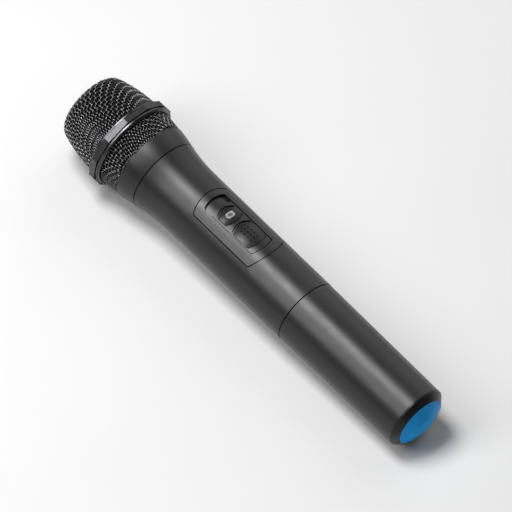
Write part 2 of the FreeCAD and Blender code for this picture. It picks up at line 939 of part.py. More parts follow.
def tail_bezel():
    spigot = cup_tail + 2.0 - seat_gap
    bore = cap_rim_radius - 1.7
    return turned(
        (cap_rim, cap_rim_radius + seat_gap), (cap_rim, cap_rim_radius + 2 * seat_gap),
        (cup_tail - edge_break, cup_tail_radius - edge_break), (cup_tail, cup_tail_radius - edge_break),
        (cup_tail, cup_bore - seat_gap), (spigot, cup_bore - seat_gap), (spigot, bore),
        (cap_rim + 1.2, bore), (cap_rim + 1.2, cap_rim_radius + seat_gap))


def end_cap():
    bore = cap_rim_radius - 1.7 - seat_gap
    foot = cup_tail + 1.6
    flat_x = cap_dome_rise + 0.2
    slope = (cap_rim_radius - cap_flat_radius) / (cap_rim - flat_x)
    return turned(
        (0.0, 0.0), (cap_dome_rise / 4, cap_flat_radius / 2, cap_dome_rise, cap_flat_radius - 0.6),
        (flat_x + 0.1, cap_flat_radius + 0.1 * slope), (cap_rim, cap_rim_radius),
        (cap_rim + 1.1, cap_rim_radius), (cap_rim + 1.1, bore), (foot, bore),
        (foot, bore - cap_wall), (cap_rim + cap_wall, bore - cap_wall),
        (flat_x + cap_wall, cap_flat_radius), (cap_wall, 0.0))


# Grille head

def grille_collar():
    middle = (head_seam + collar_top) / 2
    middle_r = (head_seam_radius + collar_top_radius) / 2 + collar_bulge
    seat = head_seam + gasket_thickness + seat_gap
    lip = on_lower(collar_top, mesh_thickness) - seat_gap
    lip_top = collar_top + 2.0
    return turned(
        (head_seam, collar_bore + gasket_width + seat_gap),
        (head_seam, head_seam_radius - seam_groove_depth),
        (head_seam + edge_break, head_seam_radius),
        (middle, middle_r, collar_top, collar_top_radius),
        (collar_top, lip), (lip_top, lip), (lip_top, collar_bore),
        (seat, collar_bore), (seat, collar_bore + gasket_width + seat_gap))


def web_ends():
    middle = ring_tail + ring_length * 0.5
    return middle - 0.8, middle + 0.8


def grille_lower_mesh():
    end = web_ends()[0] - seat_gap / 2
    start = collar_top
    return lower_blank(start, end, 0.0).cut(lower_blank(start - 1, end + 1, mesh_thickness))


def grille_dome_mesh():
    start = web_ends()[1] + seat_gap / 2
    return dome_blank(start, 0.0).cut(dome_blank(start - 1, mesh_thickness))


def grille_ring():
    """Twelve-sided band between two round lips, so that the microphone doesn't roll."""
    web_tail, web_head = web_ends()
    bore = mesh_radius + seat_gap
    groove = ring_lip_radius - groove_depth
    lip_head_end = ring_head - head_lip_width
    band_head = lip_head_end - head_groove_width
    lip_tail_start = ring_tail + ring_foot
    lip_tail_end = lip_tail_start + tail_lip_width
    band_tail = lip_tail_end + tail_groove_width
    core = turned(
        (ring_tail, bore), (ring_tail, bore + ring_foot), (lip_tail_start, groove),
        (lip_tail_start, ring_lip_radius), (lip_tail_end, ring_lip_radius), (lip_tail_end, groove),
        (lip_head_end, groove), (lip_head_end, ring_lip_radius), (ring_head, ring_lip_radius),
        (ring_head, bore), (web_head, bore), (web_head, mesh_bore), (web_tail, mesh_bore),
        (web_tail, bore))
    corner = ring_flat_radius / math.cos(math.pi / ring_sides)
    corners = []
    for index in range(ring_sides + 1):
        angle = 2 * math.pi * (index + 0.5) / ring_sides
        corners.append(FreeCAD.Vector(band_tail, corner * math.sin(angle), corner * math.cos(angle)))
    band = Part.Face(Part.makePolygon(corners)).extrude(AXIS * (band_head - band_tail))
    band = band.cut(rod(band_tail - 1, band_head + 1, bore + band_overlap))
    return joined([core, band])


def foam_liner():
    outer = mesh_thickness + soft_gap
    inner = outer + foam_thickness
    start = collar_top + 3.0
    upper = dome_blank(ring_head, outer)
    lower = lower_blank(start, ring_head, outer)
    hollow_top = dome_blank(ring_head, inner)
    hollow_low = lower_blank(start - 1, ring_head, inner)
    return joined([upper, lower]).cut(joined([hollow_top, hollow_low]))


# Capsule on its rubber mount

def carrier_screw_places():
    places = []
    for index in range(3):
        angle = 2 * math.pi * (index + 0.25) / 3
        reach = handle_bore - 1.9
        places.append((reach * math.sin(angle), reach * math.cos(angle)))
    return places


def carrier_floor():
    return neck_ledge_station() + carrier_thickness + carrier_stem_length


def capsule_back():
    return carrier_floor() + carrier_cup_wall + 0.5


def capsule_carrier():
    """Disc in the neck's mouth, with a stem and a shallow cup for the capsule's rubber ring."""
    flange = neck_ledge_station()
    floor = carrier_floor()
    cup_bore_radius = capsule_radius + shock_ring_thickness + 2 * seat_gap
    cup_radius = cup_bore_radius + carrier_cup_wall
    solid = turned(
        (flange, carrier_bore), (flange, handle_bore - seat_gap),
        (flange + carrier_thickness, handle_bore - seat_gap),
        (flange + carrier_thickness, carrier_stem_radius), (floor, carrier_stem_radius),
        (floor, cup_radius), (floor + carrier_cup_depth, cup_radius),
        (floor + carrier_cup_depth, cup_bore_radius), (floor + carrier_cup_wall, cup_bore_radius),
        (floor + carrier_cup_wall, carrier_bore))
    for place in carrier_screw_places():
        solid = solid.cut(rod(flange - 1, flange + carrier_thickness + 1,
                              screw_radius + hole_clearance, *place))
    return solid


def carrier_screws():
    x = neck_ledge_station() + carrier_thickness
    return Part.makeCompound([screw(x, y, z, AXIS * -1) for y, z in carrier_screw_places()])


def capsule_shock_ring():
    start = carrier_floor() + carrier_cup_wall + seat_gap
    end = start + carrier_cup_depth + 1.0
    return tube(start, end, capsule_radius + shock_ring_thickness + seat_gap, capsule_radius + seat_gap)


def capsule_front():
    return capsule_back() + capsule_length


def capsule_housing():
    back = capsule_back()
    return turned(
        (back, 0.0), (back, capsule_radius), (capsule_front(), capsule_radius),
        (capsule_front(), capsule_radius - capsule_wall),
        (back + capsule_floor, capsule_radius - capsule_wall), (back + capsule_floor, 0.0))


def yoke_back():
    return capsule_back() + capsule_floor


def pole_top():
    return yoke_back() + yoke_length


def capsule_yoke():
    back = yoke_back()
    inner = yoke_radius - yoke_wall
    return turned(
        (back, 0.0), (back, yoke_radius), (pole_top(), yoke_radius), (pole_top(), inner),
        (back + yoke_floor, inner), (back + yoke_floor, 0.0))


def capsule_magnet():
    start = yoke_back() + yoke_floor
    return rod(start, start + magnet_length, magnet_radius)


def capsule_pole_plate():
    return rod(yoke_back() + yoke_floor + magnet_length, pole_top(), pole_radius)


def coil_front():
    return pole_top() + coil_length - coil_depth


def voice_coil():
    return tube(pole_top() - coil_depth, coil_front(), coil_inner_radius + coil_thickness,
                coil_inner_radius)


def clamp_radius():
    return capsule_radius - capsule_wall - 2 * seat_gap


def diaphragm():
    """Thin raised dome on the coil, with a flat surround around it."""
    x = coil_front()
    thick = diaphragm_thickness
    edge = clamp_radius() - clamp_ring_width - soft_gap
    crown = x + diaphragm_dome_rise
    half = coil_inner_radius / 2
    return turned(
        (x, edge), (x + thick, edge), (x + thick, coil_inner_radius), (crown + thick, half),
        (crown + thick, 0.0), (crown, 0.0), (crown, half), (x, coil_inner_radius))


def diaphragm_clamp_ring():
    outer = clamp_radius()
    start = pole_top() + seat_gap
    return tube(start, coil_front() + clamp_ring_height, outer, outer - clamp_ring_width)


def capsule_grid():
    """Front disc with rings of round holes."""
    x = capsule_front()
    radius = capsule_radius
    disc = rod(x, x + grid_thickness, radius)
    step = (radius - 2.0) / grid_rings
    disc = disc.cut(rod(x - 1, x + grid_thickness + 1, grid_hole_radius))
    for ring in range(1, grid_rings + 1):
        reach = step * ring - step * 0.25
        count = 6 * ring
        for index in range(count):
            angle = 2 * math.pi * index / count
            disc = disc.cut(rod(x - 1, x + grid_thickness + 1, grid_hole_radius,
                                reach * math.sin(angle), reach * math.cos(angle)))
    return disc


# Every piece, by the name of its file

def pieces():
    yield "handle_body", handle_body()
    yield "control_panel", control_panel()
    yield "slider_plate", slider_plate()
    yield "thumb_pad", thumb_pad()
    yield "indicator_boss", indicator_boss()
    yield "indicator_lens", indicator_lens()
    yield "switch_lever", switch_lever()
    yield "slide_switch_case", slide_switch_case()
    yield "main_circuit_board", main_circuit_board()
    yield "pcb_screws", pcb_screws()
    yield "rf_shield_can", rf_shield_can()
    yield "circuit_chips", circuit_chips()
    yield "filter_capacitors", filter_capacitors()
    yield "crystal_can", crystal_can()
    yield "power_led", power_led()
    yield "capsule_plug", capsule_plug()
    yield "capsule_leads", capsule_leads()
    yield "battery_leads", battery_leads()
    yield "antenna_wire", antenna_wire()
    yield "battery_tray", battery_tray()
    yield "battery_cell_left", battery_cell(1)
    yield "battery_cell_right", battery_cell(-1)
    yield "battery_springs", battery_springs()
    yield "battery_link_plate", battery_link_plate()
    yield "battery_contact_plates", battery_contact_plates()
    yield "battery_cup", battery_cup()
    yield "cup_gasket", gasket(seam - gasket_thickness - seat_gap / 2, 1, cup_bore)
    yield "tail_bezel", tail_bezel()
    yield "end_cap", end_cap()
    yield "head_gasket", gasket(head_seam + gasket_thickness + seat_gap / 2, -1, collar_bore)
    yield "grille_collar", grille_collar()
    yield "grille_lower_mesh", grille_lower_mesh()
    yield "grille_ring", grille_ring()
    yield "grille_dome_mesh", grille_dome_mesh()
    yield "foam_liner", foam_liner()
    yield "capsule_carrier", capsule_carrier()
    yield "carrier_screws", carrier_screws()
    yield "capsule_shock_ring", capsule_shock_ring()
    yield "capsule_housing", capsule_housing()
    yield "capsule_yoke", capsule_yoke()
    yield "capsule_magnet", capsule_magnet()
    yield "capsule_pole_plate", capsule_pole_plate()
    yield "voice_coil", voice_coil()
    yield "diaphragm", diaphragm()
    yield "diaphragm_clamp_ring", diaphragm_clamp_ring()
    yield "capsule_grid", capsule_grid()


def main():
    os.makedirs("parts", exist_ok=True)
    place = FreeCAD.Vector(-total_length / 2, 0, ring_flat_radius)
    for name, shape in pieces():
        shape.translate(place)
        shape.exportStep("parts/" + name + ".step")
        box = shape.BoundBox
        print(name, "solids", len(shape.Solids), "valid", shape.isValid(),
              "volume %.1f" % shape.Volume,
              "x %.2f %.2f" % (box.XMin, box.XMax),
              "y %.2f %.2f" % (box.YMin, box.YMax),
              "z %.2f %.2f" % (box.ZMin, box.ZMax))


main()
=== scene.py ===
import json
import math

import bpy
import numpy as np
from mathutils import Matrix, Vector, noise


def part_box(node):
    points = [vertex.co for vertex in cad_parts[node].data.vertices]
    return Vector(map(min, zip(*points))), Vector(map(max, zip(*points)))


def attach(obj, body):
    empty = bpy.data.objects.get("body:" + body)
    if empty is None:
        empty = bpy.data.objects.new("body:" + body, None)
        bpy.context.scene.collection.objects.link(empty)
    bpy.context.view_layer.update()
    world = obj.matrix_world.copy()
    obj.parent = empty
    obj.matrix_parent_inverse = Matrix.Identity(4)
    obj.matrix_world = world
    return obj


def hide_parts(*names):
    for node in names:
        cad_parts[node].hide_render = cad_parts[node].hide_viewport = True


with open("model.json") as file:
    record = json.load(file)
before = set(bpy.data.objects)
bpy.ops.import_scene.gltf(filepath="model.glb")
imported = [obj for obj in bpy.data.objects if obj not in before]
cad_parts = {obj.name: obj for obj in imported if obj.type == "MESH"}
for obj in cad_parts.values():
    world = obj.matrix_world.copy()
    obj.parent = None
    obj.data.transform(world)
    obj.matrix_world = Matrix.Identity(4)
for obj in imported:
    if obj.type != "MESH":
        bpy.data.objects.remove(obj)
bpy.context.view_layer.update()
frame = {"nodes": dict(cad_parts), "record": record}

# Handheld wireless karaoke microphone on a pale floor. Lengths are in metres, and the handle's
# axis runs along X towards the grille.

MM = 0.001

# A radius below this is on the axis
ON_AXIS = 0.001 * MM

# Woven wire, pressed over the dome and round the band below the ring. The wires' middle lies
# MESH_DEPTH under the solids' skin. A turn is where the sheet's X points, from up towards +Y. A
# creep is how far the weave slides round the axis, and the stretch how far along the outline.
WIRE_RADIUS = 0.245 * MM
WIRE_PITCH = 2.12 * MM
CROSSING_SPARE = 1.02
MESH_DEPTH = 0.5 * MM
DOME_TURN = math.radians(8.0)
DOME_CREEP = 0.45
DOME_STRETCH = 0.30
BAND_TURN = math.radians(-35.0)
BAND_SHEET_RADIUS = 26.5 * MM
BAND_CREEP = 0.17
STEPS_PER_CELL = 6
WIRE_SIDES = 8

# Foam behind the wire
FOAM_WALL = 3.0 * MM
FOAM_CELL = 0.9 * MM
FOAM_RELIEF = 0.22 * MM
FOAM_STEP = 0.7 * MM

# Share of a battery cell's length, from its tail end, that is dark
DARK_JACKET_SHARE = 0.38

# Floor: how far it reaches each way, how far it lies below what rests on it, and where the
# microphone rests, inwards from the tail side of the ring's box and of the cup's box
FLOOR_REACH = 12.0
FLOOR_GAP = 0.1 * MM
RING_REST = 2.0 * MM
TAIL_REST = 1.0 * MM
TAIL_REST_RISE = 0.45 * MM

# Camera: a long lens behind the tail, above and to the left
CAMERA_DISTANCE = 6.0
SIGHT_TILT = math.radians(20.5)
SIGHT_TURN = math.radians(29.3)
PICTURE_SLOPE = math.radians(43.864)
PICTURE_WIDTH = 0.256
AIM_ALONG = 2.17 * MM
AIM_ACROSS = 2.95 * MM

# Light: lean is a share along X, and turn is degrees round the handle, from above towards +Y
SOFTBOXES = {
    "key_softbox": dict(lean=0.35, turn=12, distance=1.3, across=0.5, along=0.5, power=15.0),
    "side_softbox": dict(lean=0.35, turn=46, distance=1.3, across=0.7, along=0.5, power=7.5),
    "fill_softbox": dict(lean=0.25, turn=-58, distance=1.5, across=1.4, along=1.2, power=5.5),
}
ROOM_LEVEL = 0.14

# Measures of the frame
RING_LOW, RING_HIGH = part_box("grille_ring")
AXIS_HEIGHT = (RING_LOW.z + RING_HIGH.z) / 2


# Node trees

class Shade:
    """A material's node tree, with short ways to add to it."""

    def __init__(self, name, colour, roughness, metallic=0.0, specular=0.5):
        self.material = bpy.data.materials.new(name)
        self.material.use_nodes = True
        self.tree = self.material.node_tree
        self.shader = self.tree.nodes["Principled BSDF"]
        self.set("Base Color", (*colour, 1.0))
        self.set("Roughness", roughness)
        self.set("Metallic", metallic)
        self.set("Specular IOR Level", specular)
        self.place = self.add("ShaderNodeTexCoord").outputs["Object"]
        self.normal = None

    def set(self, socket, value):
        self.shader.inputs[socket].default_value = value

    def add(self, kind, links=None, **settings):
        node = self.tree.nodes.new(kind)
        for key, value in settings.items():
            setattr(node, key, value)
        for socket, source in (links or {}).items():
            if isinstance(source, bpy.types.NodeSocket):
                self.tree.links.new(source, node.inputs[socket])
            else:
                node.inputs[socket].default_value = source
        return node

    def stretched(self, along, across=1.0):
        """Object coordinates scaled along X and across it."""
        node = self.add("ShaderNodeVectorMath", {0: self.place, 1: (along, across, across)},
                        operation="MULTIPLY")
        return node.outputs[0]

    def noise(self, size, detail=3.0, place=None, rough=0.5):
        node = self.add("ShaderNodeTexNoise", {"Vector": place or self.place, "Scale": 1 / size,
                                               "Detail": detail, "Roughness": rough})
        return node.outputs["Fac"]

    def cells(self, size, place=None):
        """Distance to the nearest of points that lie about size apart."""
        node = self.add("ShaderNodeTexVoronoi", {"Vector": place or self.place, "Scale": 1 / size})
        return node.outputs["Distance"]

    def lines(self, size, distortion=0.0):
        """Bands across X, one every size metres."""
        node = self.add("ShaderNodeTexWave", {"Vector": self.place, "Scale": math.pi / 10 / size,
                                              "Distortion": distortion})
        return node.outputs["Fac"]

    def range(self, source, low, high, start=0.3, end=0.7):
        """Source from start to end, spread over low to high."""
        node = self.add("ShaderNodeMapRange", {"Value": source, "From Min": start, "From Max": end,
                                               "To Min": low, "To Max": high})
        return node.outputs["Result"]

    def tint(self, source, low, high):
        """Colour from low to high as source goes from 0 to 1."""
        node = self.add("ShaderNodeMix", {"Factor": source}, data_type="RGBA")
        node.inputs[6].default_value = (*low, 1.0)
        node.inputs[7].default_value = (*high, 1.0)
        self.tree.links.new(node.outputs[2], self.shader.inputs["Base Color"])

    def mottle(self, source, colour, darkest, lightest, start=0.3, end=0.7):
        """Colour times darkest to lightest as source goes from start to end."""
        self.tint(self.range(source, 0.0, 1.0, start, end),
                  scaled(colour, darkest), scaled(colour, lightest))

    def vary_roughness(self, source, low, high):
        self.tree.links.new(self.range(source, low, high), self.shader.inputs["Roughness"])

    def bump(self, source, depth):
        """Relief of that depth in metres, on top of any relief given before."""
        links = {"Height": source, "Distance": depth, "Strength": 1.0}
        if self.normal:
            links["Normal"] = self.normal
        self.normal = self.add("ShaderNodeBump", links).outputs["Normal"]
        self.tree.links.new(self.normal, self.shader.inputs["Normal"])


def scaled(colour, factor):
    return tuple(min(1.0, channel * factor) for channel in colour)


def moulded_plastic(name, colour, roughness, grain=0.35 * MM, specular=0.5):
    """Satin plastic with a spark-eroded grain, faint flow marks and handling marks."""
    made = Shade(name, colour, roughness, specular=specular)
    fine = made.noise(grain, 4.0)
    broad = made.noise(22 * MM, 4.0, made.stretched(0.4))
    marks = made.noise(5 * MM, 6.0, made.stretched(0.6), 0.65)
    made.mottle(broad, colour, 0.88, 1.14)
    made.vary_roughness(marks, roughness - 0.03, roughness + 0.04)
    made.bump(fine, 0.009 * MM)
    return made


def gloss_plastic(name, colour, roughness, specular=0.5):
    """Smooth plastic with slight waves from the mould and fine dust-size marks."""
    made = Shade(name, colour, roughness, specular=specular)
    waves = made.noise(7 * MM, 2.0)
    specks = made.noise(0.6 * MM, 5.0, rough=0.7)
    made.mottle(waves, colour, 0.93, 1.07)
    made.vary_roughness(specks, roughness - 0.03, roughness + 0.05)
    made.bump(waves, 0.02 * MM)
    made.bump(specks, 0.002 * MM)
    return made


def sheet_metal(name, colour, roughness, grain):
    """Rolled or drawn metal, with lines along its grain and duller patches."""
    made = Shade(name, colour, roughness, metallic=1.0)
    brushed = made.noise(0.5 * MM, 3.0, made.stretched(*grain))
    patches = made.noise(4 * MM, 5.0, rough=0.6)
    made.mottle(patches, colour, 0.8, 1.1)
    made.vary_roughness(brushed, roughness - 0.08, roughness + 0.1)
    made.bump(brushed, 0.003 * MM)
    return made


def rubber(name, colour, roughness=0.75):
    """Dull rubber with a fine bloom."""
    made = Shade(name, colour, roughness, specular=0.3)
    bloom = made.noise(1.2 * MM, 6.0, rough=0.7)
    made.mottle(bloom, colour, 0.7, 1.6)
    made.vary_roughness(bloom, roughness - 0.08, roughness + 0.08)
    made.bump(bloom, 0.02 * MM)
    return made


def anodised_ring(name):
    """Dark anodised aluminium, with the fine circles left by turning."""
    colour = (0.075, 0.075, 0.078)
    made = Shade(name, colour, 0.3, metallic=1.0)
    made.mottle(made.noise(5 * MM, 4.0), colour, 0.9, 1.12)
    made.vary_roughness(made.noise(2 * MM, 4.0), 0.27, 0.33)
    made.bump(made.lines(0.25 * MM, 0.4), 0.0008 * MM)
    made.bump(made.noise(0.3 * MM, 3.0), 0.001 * MM)
    return made


def painted_wire(name):
    """Steel wire under black paint, which is worn thin in patches."""
    colour = (0.125, 0.125, 0.127)
    made = Shade(name, colour, 0.27, metallic=1.0)
    made.mottle(made.noise(1.6 * MM, 5.0, rough=0.65), colour, 0.7, 2.0, 0.4, 0.75)
    made.vary_roughness(made.noise(0.5 * MM, 3.0), 0.28, 0.38)
    made.bump(made.noise(0.2 * MM, 3.0), 0.006 * MM)
    return made


def foam(name):
    """Open-cell black foam, with painted shade in its pores."""
    colour = (0.006, 0.006, 0.0065)
    made = Shade(name, colour, 0.95, specular=0.05)
    pores = made.cells(FOAM_CELL)
    # Painted shade: darker in the pores' hollows, lighter on the cell walls between them
    made.mottle(pores, colour, 0.4, 1.6, 0.1, 0.6)
    made.bump(pores, 0.25 * MM)
    return made


def circuit_board(name):
    """Green solder mask over copper tracks that run along the board."""
    colour = (0.012, 0.12, 0.04)
    made = Shade(name, colour, 0.35)
    tracks = made.cells(1.6 * MM, made.stretched(0.25))
    mask = made.range(tracks, 0.0, 1.0, 0.35, 0.45)
    made.tint(mask, colour, (0.03, 0.22, 0.07))
    made.vary_roughness(made.noise(1.5 * MM, 4.0), 0.28, 0.42)
    made.bump(mask, 0.03 * MM)
    return made


def cell_jacket(name):
    """Battery's film: dark at the tail end and plain silver along the rest, with no print."""
    made = Shade(name, (0.3, 0.3, 0.31), 0.3, metallic=0.85)
    along = made.add("ShaderNodeSeparateXYZ", {"Vector": made.place}).outputs["X"]
    low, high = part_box("battery_cell_left")
    edge = low.x + (high.x - low.x) * DARK_JACKET_SHARE
    made.tint(made.range(along, 0.0, 1.0, edge - 0.2 * MM, edge + 0.2 * MM),
              (0.03, 0.035, 0.04), (0.5, 0.5, 0.51))
    made.vary_roughness(made.noise(2 * MM, 5.0), 0.22, 0.38)
    made.bump(made.noise(3 * MM, 3.0), 0.02 * MM)
    return made


def magnet(name):
    """Sintered magnet under nickel, with a grainy surface."""
    colour = (0.32, 0.32, 0.33)
    made = Shade(name, colour, 0.45, metallic=1.0)
    grains = made.cells(0.5 * MM)
    made.mottle(grains, colour, 0.7, 1.2, 0.1, 0.6)
    made.vary_roughness(grains, 0.38, 0.55)
    made.bump(grains, 0.03 * MM)
    return made


def copper_winding(name):
    """Enamelled wire, wound close in rings round the axis, with painted shade between the turns.
    """
    colour = (0.62, 0.24, 0.09)
    made = Shade(name, colour, 0.28, metallic=1.0)
    turns = made.lines(0.12 * MM)
    # Painted shade: the colour darkens to a third in the grooves between the turns
    made.tint(turns, scaled(colour, 0.35), colour)
    made.vary_roughness(made.noise(0.8 * MM, 3.0), 0.22, 0.36)
    made.bump(turns, 0.05 * MM)
    return made


def diaphragm_film(name):
    """Thin clear film with a slight tint and slight waves."""
    made = Shade(name, (0.82, 0.8, 0.72), 0.16)
    made.set("Transmission Weight", 0.65)
    made.set("IOR", 1.5)
    smudges = made.noise(3 * MM, 5.0)
    made.tint(made.range(smudges, 0.0, 1.0), (0.72, 0.69, 0.58), (0.86, 0.85, 0.8))
    made.vary_roughness(smudges, 0.1, 0.24)
    made.bump(made.noise(1.5 * MM, 3.0), 0.02 * MM)
    return made


def lamp_window(name):
    """Milky window with a painted highlight on its rim; its middle lies over the dark lamp."""
    low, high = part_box("indicator_lens")
    middle = (low + high) / 2
    half = (high - low) / 2
    made = Shade(name, (0.3, 0.3, 0.31), 0.16)
    from_middle = made.add("ShaderNodeVectorMath", {0: made.place, 1: tuple(middle)},
                           operation="SUBTRACT").outputs[0]
    shares = made.add("ShaderNodeVectorMath", {0: from_middle, 1: (1 / half.x, 1 / half.y, 0)},
                      operation="MULTIPLY").outputs[0]
    share = made.add("ShaderNodeVectorMath", {0: shares}, operation="LENGTH").outputs["Value"]
    # Painted highlight: the window's colour grows lighter from its middle out to its rim
    made.tint(made.range(share, 0.0, 1.0, 0.45, 1.0), (0.1, 0.1, 0.105), (0.36, 0.36, 0.37))
    cloud = made.noise(0.9 * MM, 4.0)
    made.vary_roughness(cloud, 0.1, 0.22)
    made.bump(cloud, 0.02 * MM)
    return made


# Ways the grain of sheet metal runs, as a scale along X and across it
LENGTHWISE = (0.12, 6.0)
CROSSWISE = (6.0, 0.2)
TURNED = (6.0, 0.15)
COARSE = (2.0, 2.0)
FINE = (3.0, 3.0)

FINISHES = {
    "satin_black_plastic": lambda n: moulded_plastic(n, (0.009, 0.009, 0.0095), 0.37,
                                                     specular=0.43),
    "panel_black_plastic": lambda n: moulded_plastic(n, (0.0095, 0.0095, 0.01), 0.36,
                                                     0.25 * MM, specular=0.43),
    "slider_black_plastic": lambda n: moulded_plastic(n, (0.0085, 0.0085, 0.009), 0.36,
                                                      0.2 * MM, specular=0.4),
    "lens_plastic": lamp_window,
    "lever_plastic": lambda n: moulded_plastic(n, (0.78, 0.78, 0.74), 0.45),
    "bezel_black_plastic": lambda n: gloss_plastic(n, (0.004, 0.004, 0.004), 0.3, specular=0.3),
    "blue_plastic": lambda n: gloss_plastic(n, (0.001, 0.31, 0.76), 0.34, specular=0.07),
    "gasket_rubber": lambda n: rubber(n, (0.012, 0.012, 0.012)),
    "ring_metal": anodised_ring,
    "grille_wire": painted_wire,
    "windscreen_foam": foam,
    "circuit_board": circuit_board,
    "tinned_steel": lambda n: sheet_metal(n, (0.6, 0.6, 0.58), 0.35, LENGTHWISE),
    "chip_epoxy": lambda n: moulded_plastic(n, (0.02, 0.02, 0.021), 0.55, 0.15 * MM),
    "capacitor_can": lambda n: sheet_metal(n, (0.72, 0.72, 0.74), 0.3, CROSSWISE),
    "led_epoxy": lambda n: gloss_plastic(n, (0.22, 0.55, 0.22), 0.12),
    "white_nylon": lambda n: moulded_plastic(n, (0.76, 0.74, 0.67), 0.5),
    "wire_insulation": lambda n: rubber(n, (0.42, 0.025, 0.02), 0.5),
    "screw_steel": lambda n: sheet_metal(n, (0.55, 0.55, 0.54), 0.3, FINE),
    "tray_plastic": lambda n: moulded_plastic(n, (0.035, 0.035, 0.036), 0.5),
    "cell_jacket": cell_jacket,
    "spring_steel": lambda n: sheet_metal(n, (0.7, 0.7, 0.67), 0.22, COARSE),
    "carrier_plastic": lambda n: moulded_plastic(n, (0.045, 0.045, 0.046), 0.48),
    "capsule_can": lambda n: sheet_metal(n, (0.62, 0.62, 0.62), 0.3, TURNED),
    "magnet_alloy": magnet,
    "yoke_steel": lambda n: sheet_metal(n, (0.5, 0.5, 0.5), 0.38, TURNED),
    "coil_copper": copper_winding,
    "diaphragm_film": diaphragm_film,
}


def give_finishes():
    """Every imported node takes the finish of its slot; returns the materials by slot."""
    made = {slot: finish(slot).material for slot, finish in FINISHES.items()}
    for part in frame["record"]["subparts"]:
        node = frame["nodes"][part["node"]]
        node.data.materials.clear()
        node.data.materials.append(made[part["material_slot"]])
    return made


# Outlines of turned pieces

def outline(node):
    """Outer outline of a turned node, as (x, r) points from its head end to its tail end."""
    mesh = frame["nodes"][node].data
    flat = np.empty(len(mesh.vertices) * 3)
    mesh.vertices.foreach_get("co", flat)
    x, y, z = flat.reshape(-1, 3).T
    points = sorted({(round(a, 7), round(b, 7)) for a, b in zip(x, np.hypot(y, z - AXIS_HEIGHT))})
    chain = []
    for point in points:
        while len(chain) > 1 and not turns_in(chain[-2], chain[-1], point):
            chain.pop()
        chain.append(point)
    # The tail end's face has several points at the same x, and only its outermost counts
    first = max(range(len(chain)), key=lambda i: (chain[i][0] == chain[0][0], chain[i][1]))
    return np.array(chain[first:][::-1])


def turns_in(a, b, c):
    """True if the way from a over b to c bends towards the axis."""
    return (b[0] - a[0]) * (c[1] - b[1]) - (b[1] - a[1]) * (c[0] - b[0]) < 0


class Surface:
    """A turned surface, where a place is its distance along the outline and its angle."""

    def __init__(self, points, inset):
        steps = np.hypot(*np.diff(points, axis=0).T)
        self.along = np.concatenate(([0.0], np.cumsum(steps)))
        run = np.gradient(points, self.along, axis=0)
        run /= np.linalg.norm(run, axis=1)[:, None]
        self.out = np.column_stack((-run[:, 1], run[:, 0]))
        if self.out[len(points) // 2][1] < 0:
            self.out = -self.out
        if points[0][1] < ON_AXIS:
            self.out[0] = (1.0, 0.0)
        self.points = points - self.out * inset
        self.points[:, 1] = np.maximum(self.points[:, 1], 0.0)
        self.length = self.along[-1]

    def radius(self, along):
        return np.interp(along, self.along, self.points[:, 1])

    def at(self, along, turn):
        """Points and outward directions."""
        x, r, out_x, out_r = (np.interp(along, self.along, column)
                              for column in (*self.points.T, *self.out.T))
        side, up = np.sin(turn), np.cos(turn)
        points = np.column_stack((x, r * side, AXIS_HEIGHT + r * up))
        out = np.column_stack((out_x, out_r * side, out_r * up))
        return points, out / np.linalg.norm(out, axis=1)[:, None]


# Woven wire

def tube(points, out, radius, sides):
    """Vertices and faces of a round wire along points, closed at both ends."""
    run = np.gradient(points, axis=0)
    run /= np.linalg.norm(run, axis=1)[:, None]
    side = np.cross(run, out)
    side /= np.linalg.norm(side, axis=1)[:, None]
    top = np.cross(side, run)
    angles = 2 * math.pi * np.arange(sides) / sides
    rings = (points[:, None] + radius * (np.cos(angles)[None, :, None] * top[:, None]
                                         + np.sin(angles)[None, :, None] * side[:, None]))
    faces = []
    for ring in range(len(points) - 1):
        low = ring * sides
        for k in range(sides):
            after = (k + 1) % sides
            faces.append((low + k, low + after, low + sides + after, low + sides + k))
    last = (len(points) - 1) * sides
    faces.append(tuple(range(sides))[::-1])
    faces.append(tuple(last + k for k in range(sides)))
    return rings.reshape(-1, 3), faces


def mesh_object(name, vertices, faces, material):
    mesh = bpy.data.meshes.new(name)
    mesh.from_pydata(vertices, [], faces)
    mesh.shade_smooth()
    mesh.materials.append(material)
    made = bpy.data.objects.new(name, mesh)
    bpy.context.scene.collection.objects.link(made)
    return made


def crossing_lift(fine):
    """Height of a wire, from -1 under the crossings to 1 over them, with long flat crests."""
    wave = np.cos(math.pi * (fine - 0.5))
    return wave * (15 - 10 * wave ** 2 + 3 * wave ** 4) / 8


def weave(name, surface, press, reach, material):
    """Plain weave: wires both ways across a flat sheet, which press then lays on the surface.

    press turns places on the sheet into distances along the outline and angles. Only what
    falls on the surface is kept, so a wire may come out in several lengths."""
    rows = int(reach / WIRE_PITCH)
    fine = np.linspace(-rows, rows, 2 * rows * STEPS_PER_CELL + 1)
    height = WIRE_RADIUS * CROSSING_SPARE * crossing_lift(fine)
    vertices, faces, count = [], [], 0
    for way in (0, 1):
        for row in range(-rows, rows + 1):
            across = np.full_like(fine, row + 0.5)
            flat = (fine, across) if way == 0 else (across, fine)
            along, turn = press(flat[0] * WIRE_PITCH, flat[1] * WIRE_PITCH)
            points, out = surface.at(along, turn)
            points = points + out * ((-1) ** (row + way) * height)[:, None]
            for start, end in stretches((along >= 0) & (along <= surface.length)):
                made, skin = tube(points[start:end], out[start:end], WIRE_RADIUS, WIRE_SIDES)
                vertices.append(made)
                faces += [tuple(index + count for index in face) for face in skin]
                count += len(made)
    return mesh_object(name, np.concatenate(vertices), faces, material)


def stretches(kept):
    """Start and end of each run of True that is long enough for a wire."""
    edges = np.flatnonzero(np.diff(np.concatenate(([0], kept.astype(int), [0]))))
    return [(a, b) for a, b in zip(edges[::2], edges[1::2]) if b - a > STEPS_PER_CELL // 2]


def polar(x, y):
    return np.hypot(x, y), np.arctan2(y, x)


